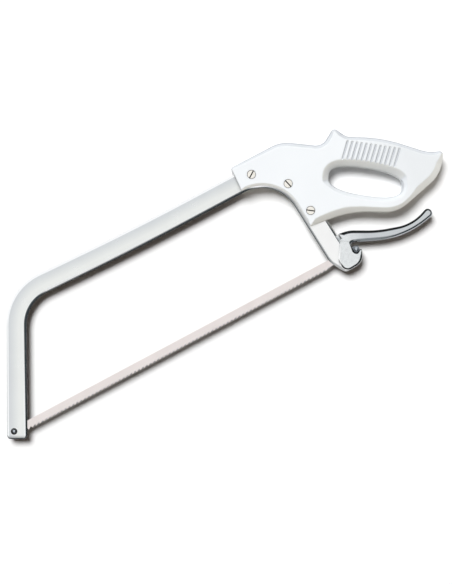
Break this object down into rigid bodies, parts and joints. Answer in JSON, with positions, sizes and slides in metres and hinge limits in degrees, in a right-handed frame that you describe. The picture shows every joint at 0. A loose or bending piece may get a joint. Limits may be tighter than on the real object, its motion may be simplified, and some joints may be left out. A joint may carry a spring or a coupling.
{
  "type": "butcher saw",
  "caption": "Butcher saw with a bent flat-bar bow, a moulded closed handle, a slim toothed blade and a forked hook lever that tensions and frees the blade.",
  "frame": {"origin": "centre of the saw's bounding box at its underside, with the saw lying flat on its side", "axes": "+X along the blade from the front pin to the handle, +Y from the blade to the top bar, +Z through the saw's thickness towards the screw heads"},
  "size_m": [0.6008, 0.1704, 0.027],
  "materials": {
    "bow_steel": "satin stainless",
    "blade_steel": "fine-ground spring steel",
    "pin_steel": "turned steel",
    "lever_metal": "polished casting",
    "screw_metal": "nickel plate",
    "handle_plastic": "smooth white moulding"
  },
  "bodies": {
    "frame": {"bow_frame": "bow_steel", "handle": "handle_plastic", "front_blade_pin": "pin_steel", "lever_stud_front": "lever_metal", "lever_stud_back": "lever_metal", "handle_screw_nose": "screw_metal", "handle_screw_arch": "screw_metal", "handle_screw_heel": "screw_metal", "handle_nut_nose": "screw_metal", "handle_nut_arch": "screw_metal", "handle_nut_heel": "screw_metal"},
    "lever": {"tension_lever": "lever_metal"},
    "blade": {"saw_blade": "blade_steel", "blade_hook_pin": "pin_steel"}
  },
  "joints": [
    {"name": "lever_release", "type": "hinge", "parent": "frame", "child": "lever", "pos_m": [0.14245, -0.06964, 0.0135], "axis": [0, 0, -1], "range_deg": [0, 50]},
    {"name": "blade_swing", "type": "hinge", "parent": "frame", "child": "blade", "pos_m": [-0.28955, -0.06564, 0.0135], "axis": [0, 0, -1], "range_deg": [0, 2]}
  ],
  "couplings": [
    {"joint": "blade_swing", "follows": "lever_release", "ratio": 0.04}
  ]
}
